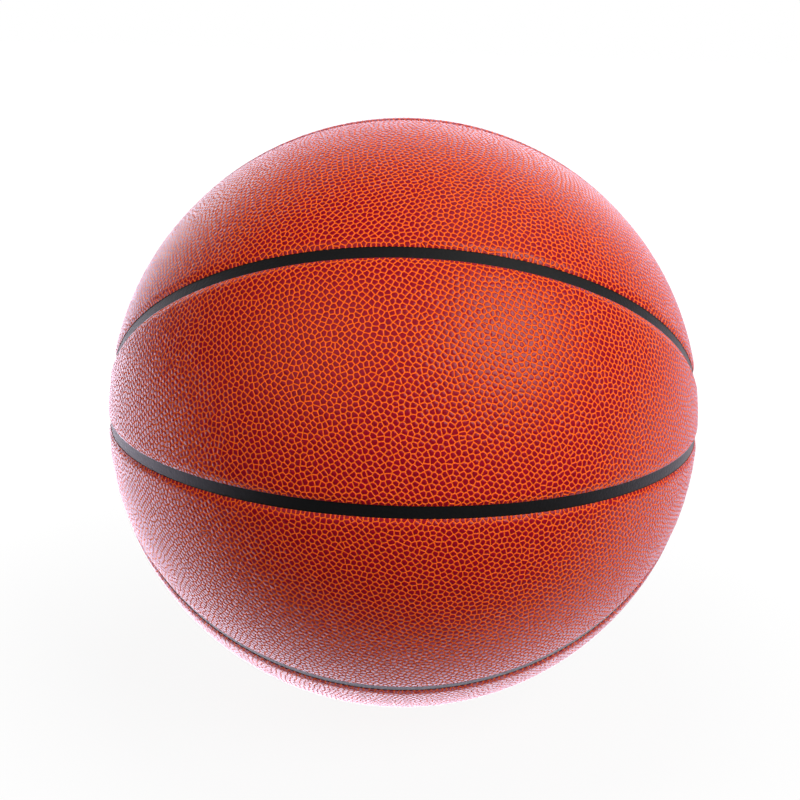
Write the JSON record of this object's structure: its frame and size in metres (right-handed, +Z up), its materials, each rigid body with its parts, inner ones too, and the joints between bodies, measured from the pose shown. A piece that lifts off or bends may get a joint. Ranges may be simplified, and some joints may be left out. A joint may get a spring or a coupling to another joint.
{
  "type": "basketball",
  "caption": "Laminated inflated ball with pebbled leather panels, recessed black rubber seams and a needle valve.",
  "frame": {"origin": "centre of the ball", "axes": "+Z up through the middle of the upper crown panels, +Y from the front panels to the back panels, where the valve is, +X to the right crossing of the seams. The seams are the same after half a turn about each of the three axes"},
  "size_m": [0.2414, 0.2416, 0.2418],
  "materials": {
    "composite_leather": "pebbled, matt with a soft sheen",
    "strip_rubber": "smooth matt",
    "carcass_rubber": "matt, as moulded",
    "nylon_thread": "wound thread set in latex",
    "butyl_rubber": "smooth, powdered",
    "valve_rubber": "smooth satin"
  },
  "bodies": {
    "root": {"bladder": "butyl_rubber", "thread_winding": "nylon_thread", "carcass": "carcass_rubber", "equator_strip": "strip_rubber", "upper_loop_strip": "strip_rubber", "lower_loop_strip": "strip_rubber", "upper_meridian_strip": "strip_rubber", "lower_meridian_strip": "strip_rubber", "upper_right_link_strip": "strip_rubber", "upper_left_link_strip": "strip_rubber", "lower_right_link_strip": "strip_rubber", "lower_left_link_strip": "strip_rubber", "front_upper_band_panel": "composite_leather", "back_upper_band_panel": "composite_leather", "front_lower_band_panel": "composite_leather", "back_lower_band_panel": "composite_leather", "front_upper_crown_panel": "composite_leather", "back_upper_crown_panel": "composite_leather", "front_lower_crown_panel": "composite_leather", "back_lower_crown_panel": "composite_leather", "valve_boot": "valve_rubber", "valve_plug": "valve_rubber"}
  },
  "joints": []
}
